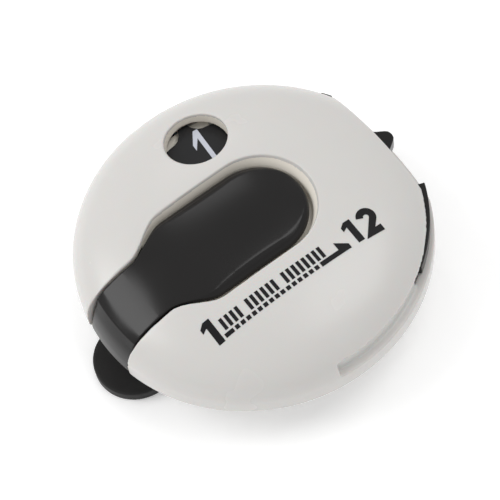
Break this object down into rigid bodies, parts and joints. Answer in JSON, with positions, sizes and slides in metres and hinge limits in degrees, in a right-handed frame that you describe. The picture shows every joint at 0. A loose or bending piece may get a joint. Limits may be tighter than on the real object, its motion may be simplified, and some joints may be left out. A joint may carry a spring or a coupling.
{
  "type": "hand tally counter",
  "caption": "Round thumb-press tally counter with a window over a toothed number wheel, a spoon-shaped count lever, a side reset nub and a sprung belt clip.",
  "frame": {"origin": "on the outer flat face of the belt clip, under the middle of the round housing", "axes": "+Z out of the face, +X from the lever's hinge towards the reset nub, +Y towards the window"},
  "size_m": [0.0522, 0.0498, 0.0175],
  "materials": {
    "housing_white": "glossy off-white moulding",
    "gloss_black": "satin to gloss black moulding",
    "clip_black": "matt black moulding",
    "natural_plastic": "natural uncoloured acetal",
    "steel": "bright spring steel and plated pins"
  },
  "bodies": {
    "housing": {"front_shell": "housing_white", "back_cover": "housing_white", "cover_screw_1": "steel", "cover_screw_2": "steel", "cover_screw_3": "steel", "cover_screw_4": "steel", "axle_pin": "steel", "thrust_washer": "steel", "retaining_washer": "steel", "return_spring": "steel", "click_spring": "steel", "lever_pin": "steel", "lever_spring": "steel", "reset_spring": "steel", "clip_pin": "steel", "clip_spring": "steel"},
    "lever": {"count_lever": "gloss_black"},
    "drive": {"drive_arm": "natural_plastic", "pawl_leaf": "steel"},
    "wheel": {"number_wheel": "gloss_black", "ratchet_wheel": "natural_plastic", "spring_hub": "natural_plastic"},
    "reset": {"reset_slider": "gloss_black"},
    "clip": {"belt_clip": "clip_black"}
  },
  "joints": [
    {"name": "lever_press", "type": "hinge", "parent": "housing", "child": "lever", "pos_m": [-0.0211, 0, 0.0098], "axis": [0, 1, 0], "range_deg": [0, 3.1], "stiffness_Nm_per_rad": 0.2, "deforming": ["lever_spring"]},
    {"name": "drive_turn", "type": "hinge", "parent": "housing", "child": "drive", "pos_m": [0.0014, 0, 0.0127], "axis": [0, 0, 1], "range_deg": [0, 30.5]},
    {"name": "wheel_turn", "type": "hinge", "parent": "housing", "child": "wheel", "pos_m": [0.0014, 0, 0.0134], "axis": [0, 0, 1], "range_deg": [0, 330], "deforming": ["click_spring", "return_spring"]},
    {"name": "reset_push", "type": "slide", "parent": "housing", "child": "reset", "axis": [-1, 0, 0], "range_m": [0, 0.0012], "stiffness_N_per_m": 500, "deforming": ["click_spring", "reset_spring"]},
    {"name": "clip_open", "type": "hinge", "parent": "housing", "child": "clip", "pos_m": [-0.012, 0, 0.0046], "axis": [0, 1, 0], "range_deg": [0, 14], "stiffness_Nm_per_rad": 0.3, "deforming": ["clip_spring"]}
  ],
  "couplings": [
    {"joint": "drive_turn", "follows": "lever_press", "ratio": 9.8387}
  ]
}
